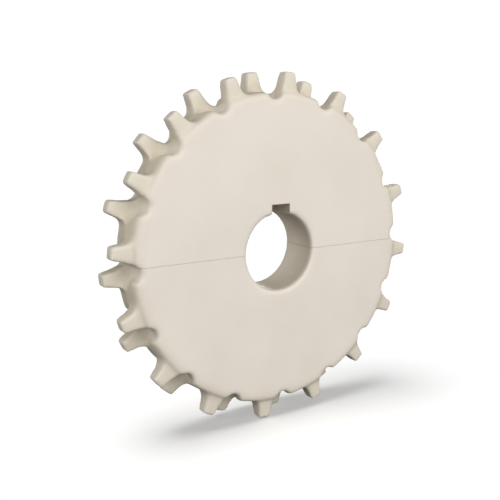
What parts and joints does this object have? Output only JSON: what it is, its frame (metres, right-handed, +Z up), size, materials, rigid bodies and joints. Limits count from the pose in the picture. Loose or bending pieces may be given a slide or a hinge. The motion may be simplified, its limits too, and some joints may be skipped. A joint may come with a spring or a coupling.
{
  "type": "split sprocket",
  "caption": "Two-part disc sprocket for a modular belt, with two staggered rows of horn-shaped teeth, rim notches, a keyed bore and hidden clamp screws.",
  "frame": {"origin": "centre of the shaft bore, in the middle of the sprocket's width", "axes": "Y along the shaft with the front face to -Y, +Z up with the keyway at the top, X along the split"},
  "size_m": [0.135, 0.0182, 0.135],
  "materials": {
    "moulded_plastic": "matt with a soft sheen",
    "screw_steel": "plain stainless",
    "insert_brass": "turned"
  },
  "bodies": {
    "root": {"upper_half": "moulded_plastic", "lower_half": "moulded_plastic", "screw_left": "screw_steel", "screw_right": "screw_steel", "insert_left": "insert_brass", "insert_right": "insert_brass"}
  },
  "joints": []
}
